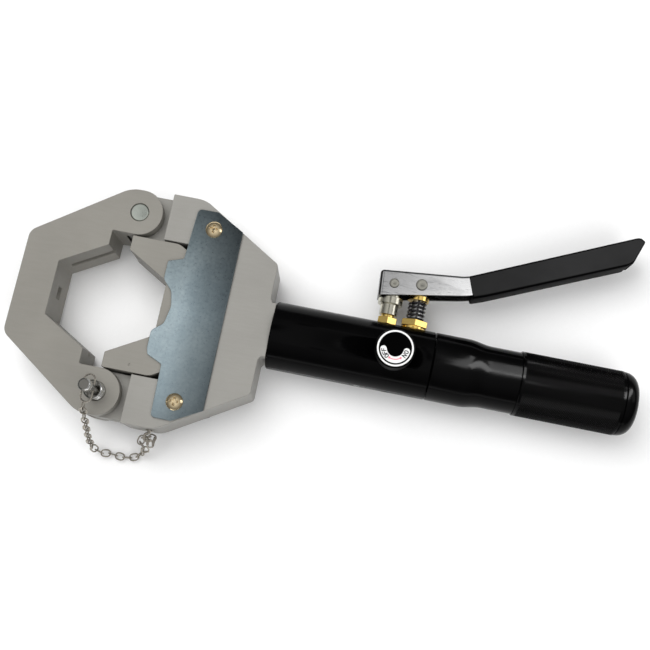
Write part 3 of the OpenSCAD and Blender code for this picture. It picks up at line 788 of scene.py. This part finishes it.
def hoop(bm, top, bottom, half, radius, inset, foot, steps=5):
    """Points over a section: up one side, across the top and down the other; foot closes it below."""
    up = (top - bottom).normalized()
    top, low = top - up * inset, bottom + up * (inset if foot else 0.0)
    half, r = half - inset, max(radius - inset, 0.0001)
    points = []
    for side in (1, -1):
        arc = [(top - up * r + up * r * math.sin(t), side * (half - r + r * math.cos(t)))
               for t in (math.pi / 2 * k / steps for k in range(steps + 1))]
        base = [(low, side * half)]
        if foot:
            base = [(low + up * r - up * r * math.sin(t), side * (half - r + r * math.cos(t)))
                    for t in (math.pi / 2 * k / steps for k in range(steps + 1))]
        run = base[::-1] + arc
        points += run if side == 1 else run[::-1]
    return [bm.verts.new((p.x, p.y, z)) for p, z in points]


def skin(bm, rings, closed):
    """Faces between neighbouring rings of points."""
    for a, b in zip(rings, rings[1:]):
        for k in range(len(a) if closed else len(a) - 1):
            m = (k + 1) % len(a)
            bm.faces.new((a[k], a[m], b[m], b[k]))


def rounded_end(top, bottom, along, radius, steps=5):
    """Stations (top, bottom, inset) that round off the end of a bar at its first station."""
    stations = []
    for k in range(steps, -1, -1):
        t = math.pi / 2 * k / steps
        shift = along * radius * (1 - math.sin(t))
        stations.append((top + shift, bottom + shift, radius * (1 - math.cos(t))))
    return stations


def outline_of(points, count):
    """An eased path given in millimetres, as count + 1 even points in metres."""
    return [p * MM for p in even(curve(points), count)]


def make_channel():
    """The pressed lever: a U-channel, open below, with rounded bends."""
    low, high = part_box("lever_channel")
    half = (high.z - low.z) / 2
    top = outline_of([(201.6, 64.6), (267, 71.47, 6), (292, 82.75)], 60)
    bottom = outline_of([(203.0, 44.6), (269, 56.6, 6), (281.6, 60.5, 6), (297, 67.4)], 60)
    bm = bmesh.new()
    layers = []
    for wall, radius, ease in ((0.0, 2.6 * MM, 2.6 * MM), (2.1 * MM, 0.9 * MM, 0.3 * MM)):
        along = (top[1] - top[0]).normalized()
        first = rounded_end(top[0] + along * wall, bottom[0] + along * wall, along, ease)
        rest = [(t, b, 0.0) for t, b in zip(top, bottom) if (t - top[0]).length > wall + ease + 0.0005]
        rings = []
        for t, b, inset in first + rest:
            up = (t - b).normalized()
            rings.append(hoop(bm, t - up * wall, b, half - wall, radius, inset, False))
        skin(bm, rings, False)
        bm.faces.new(rings[0])
        layers.append(rings)
    outer, inner = layers
    skin(bm, [outer[-1], inner[-1]], False)
    for end in (0, -1):
        count = max(len(outer), len(inner))
        for k in range(count - 1):
            face_of(bm, (outer[min(k, len(outer) - 1)][end], outer[min(k + 1, len(outer) - 1)][end],
                         inner[min(k + 1, len(inner) - 1)][end], inner[min(k, len(inner) - 1)][end]))
    bm.faces.new((outer[0][0], outer[0][-1], inner[0][-1], inner[0][0]))
    new_piece("lever_channel_visual", bm, "lever_chrome", "lever", "lever_channel",
              40)


def make_grip():
    """The dipped vinyl grip: a closed bar with soft edges and a slanted end."""
    low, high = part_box("lever_grip")
    half = (high.z - low.z) / 2
    top = outline_of([(267.8, 71.9), (391.5, 128.0, 3.5), (395.4, 125.2)], 70)
    bottom = outline_of([(273.8, 55.2), (281.6, 57.8, 6), (384.0, 103.0, 2), (388, 105.2)], 70)
    bm = bmesh.new()
    along = (top[1] - top[0]).normalized()
    stations = rounded_end(top[0], bottom[0], along, 0.7 * MM)
    stations += [(t, b, 0.0) for t, b in list(zip(top, bottom))[1:-2]]
    stations += rounded_end(top[-1], bottom[-1], Vector((-0.93, 0.37)), 1.3 * MM)[::-1]
    rings = [hoop(bm, t, b, half, 2.8 * MM, inset, True) for t, b, inset in stations]
    skin(bm, rings, True)
    bm.faces.new(rings[0])
    bm.faces.new(rings[-1][::-1])
    new_piece("lever_grip_visual", bm, "grip_vinyl", "lever", "lever_grip", 50)


# ---------------------------------------------------------------- release knob
def on_circle(centre, radius, angle):
    """A point on a circle; the angle is in radians."""
    return centre[0] + radius * math.cos(angle), centre[1] + radius * math.sin(angle)


def arc_band(bm, centre, r0, r1, a0, a1, z0, z1, steps=64, round_ends=False):
    """A flat band along an arc, from angle a0 to a1 in degrees, with optional round ends."""
    mid, half = (r0 + r1) / 2, (r1 - r0) / 2
    angles = [math.radians(a0 + (a1 - a0) * k / steps) for k in range(steps + 1)]
    outline = [on_circle(centre, r1, a) for a in angles]
    if round_ends:
        tip = on_circle(centre, mid, angles[-1])
        outline += [on_circle(tip, half, angles[-1] + math.pi * k / 10) for k in range(1, 10)]
    outline += [on_circle(centre, r0, a) for a in angles[::-1]]
    if round_ends:
        tip = on_circle(centre, mid, angles[0])
        outline += [on_circle(tip, half, angles[0] - math.pi * k / 10) for k in range(9, 0, -1)]
    extrude_outline(bm, outline, z0, z1)


def extrude_outline(bm, outline, z0, z1):
    """A flat solid over an outline, from z0 to z1."""
    low = [bm.verts.new((x, y, z0)) for x, y in outline]
    high = [bm.verts.new((x, y, z1)) for x, y in outline]
    bm.faces.new(low[::-1])
    bm.faces.new(high)
    for i in range(len(outline)):
        m = (i + 1) % len(outline)
        bm.faces.new((low[i], low[m], high[m], high[i]))


INK = 0.05 * MM
RING_WIDTH = 1.35 * MM
PRINT_MIDDLE = -86.0
STROKES = {
    "O": [[(0.5, 0), (0.15, 0.12), (0, 0.5), (0.15, 0.88), (0.5, 1), (0.85, 0.88), (1, 0.5), (0.85, 0.12),
           (0.5, 0)]],
    "F": [[(0, 0), (0, 1), (0.9, 1)], [(0, 0.52), (0.7, 0.52)]],
    "N": [[(0, 0), (0, 1), (1, 0), (1, 1)]],
}


def stroke_letter(bm, letter, place, turn, width, height, pen, z0, z1):
    """A letter drawn with straight pen strokes, standing on place and turned by turn."""
    c, s = math.cos(turn), math.sin(turn)
    for line in STROKES[letter]:
        points = [((x - 0.5) * width, (y - 0.5) * height) for x, y in line]
        for (x0, y0), (x1, y1) in zip(points, points[1:]):
            length = math.hypot(x1 - x0, y1 - y0)
            ux, uy = (x1 - x0) / length, (y1 - y0) / length
            h = pen / 2
            corners = [(x0 - ux * h + uy * h, y0 - uy * h - ux * h),
                       (x1 + ux * h + uy * h, y1 + uy * h - ux * h),
                       (x1 + ux * h - uy * h, y1 + uy * h + ux * h),
                       (x0 - ux * h - uy * h, y0 - uy * h + ux * h)]
            turned = [(place[0] + c * x - s * y, place[1] + s * x + c * y) for x, y in corners]
            extrude_outline(bm, turned, z0, z1)


def make_knob():
    """The release knob, its bush and the printed disc: ring, sector, letters and arrow."""
    dress("release_knob", "black_plastic", 0.0003, 28)
    dress("valve_bush", "black_body", 0.0003, 28)
    low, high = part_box("knob_label")
    centre = (low + high) / 2
    radius = (high.x - low.x) / 2
    disc = high.z
    first, second = disc + INK, disc + 2 * INK
    bm = bmesh.new()
    lathe(bm, [(low.z, 0), (low.z, radius), (disc, radius), (disc, 0)], (centre.x, centre.y, 0), "z", 96)
    new_piece("knob_label_visual", bm, "print_black", "release_knob", "knob_label")
    bm = bmesh.new()
    for a0 in (0, 180):
        arc_band(bm, centre, radius - RING_WIDTH, radius, a0, a0 + 180, disc, first)
    arc_band(bm, centre, 6.1 * MM, 10.7 * MM, PRINT_MIDDLE - 81, PRINT_MIDDLE + 81, disc, first,
             round_ends=True)
    new_piece("knob_print_white", bm, "print_white", "release_knob", smooth=False)
    bm = bmesh.new()
    for letter, angle in (("O", -42), ("F", -60), ("F", -77), ("O", 77), ("N", 57)):
        a = math.radians(PRINT_MIDDLE + angle)
        stroke_letter(bm, letter, on_circle(centre, 8.3 * MM, a), a + 1.5 * math.pi, 1.9 * MM, 2.8 * MM,
                      0.6 * MM, first, second)
    new_piece("knob_print_letters", bm, "print_black", "release_knob", smooth=False)
    bm = bmesh.new()
    arc_band(bm, centre, 7.7 * MM, 8.3 * MM, PRINT_MIDDLE - 24, PRINT_MIDDLE + 32, first, second)
    for angle, way in ((PRINT_MIDDLE - 24, -1), (PRINT_MIDDLE + 32, 1)):
        tips = [on_circle(centre, r * MM, math.radians(angle + shift))
                for r, shift in ((8.0, 9 * way), (9.2, 0), (6.8, 0))]
        extrude_outline(bm, tips, first, second)
    new_piece("knob_print_arrow", bm, "print_red", "release_knob", smooth=False)


# ---------------------------------------------------------------- hidden pieces
INNER_NODES = {
    "bronze": ("rod_bush",),
    "brass": ("suction_tube",),
    "seal_rubber": ("rod_wiper", "barrel_seal", "tube_seal", "cap_seal", "oil_bladder", "gland_seal",
                    "piston_seal"),
    "steel": ("filler_plug", "bladder_clip", "check_balls", "check_springs", "valve_plugs", "relief_screw",
              "drain_plug", "ram_rod", "shoe_pin", "ram_piston", "piston_nut", "release_spindle",
              "knob_screw"),
}


def finish_inner_nodes():
    """Pieces inside the body keep their CAD shape and get their material."""
    for material, nodes in INNER_NODES.items():
        for node in nodes:
            frame["nodes"][node].data.materials.clear()
            frame["nodes"][node].data.materials.append(MATERIALS[material])


make_materials()
make_camera()
make_studio()
make_head()
make_springs()
make_lock_pin()
make_body()
make_pump()
make_channel()
make_grip()
make_knob()
finish_inner_nodes()
keep_light_to(("tube_panel", "taper_panel"), ("reservoir_tube", "end_cap", "knurled_grip"))
keep_light_to(("knurl_card",), ("knurled_grip",))
keep_light_to(("lever_card",), ("lever_channel", "lever_grip", "fulcrum_rivet", "plunger_rivet"))
